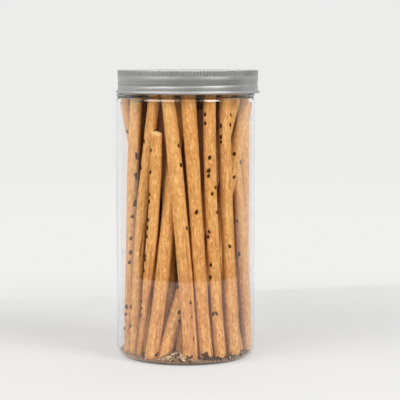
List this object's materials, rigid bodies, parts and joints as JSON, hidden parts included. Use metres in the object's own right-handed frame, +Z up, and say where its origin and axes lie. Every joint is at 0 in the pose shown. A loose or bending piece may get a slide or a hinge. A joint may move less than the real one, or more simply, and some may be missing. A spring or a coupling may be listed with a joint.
{
  "type": "jar of rusk sticks",
  "caption": "Clear straight-sided jar with a screwed-on satin metal lid, packed with upright baked rusk sticks carrying sparse black sesame seeds.",
  "frame": {"origin": "on the plane the foot ring rests on, 0.5 mm right of the jar's axis and 0.9 mm left of the lid's", "axes": "+Z up along the jar towards the lid; -Y is the front that the picture shows, +X to its right"},
  "size_m": [0.0882, 0.0882, 0.176],
  "materials": {
    "clear_plastic": "clear thin PET wall, glossy and colourless",
    "satin_aluminium": "matte silver-grey rolled sheet with a knurled rim",
    "baked_rusk": "dry golden-tan baked crust with fine pores and sparse black sesame seeds"
  },
  "bodies": {
    "root": {"jar": "clear_plastic", "lid": "satin_aluminium", "rusk_sticks": "baked_rusk"}
  },
  "joints": []
}
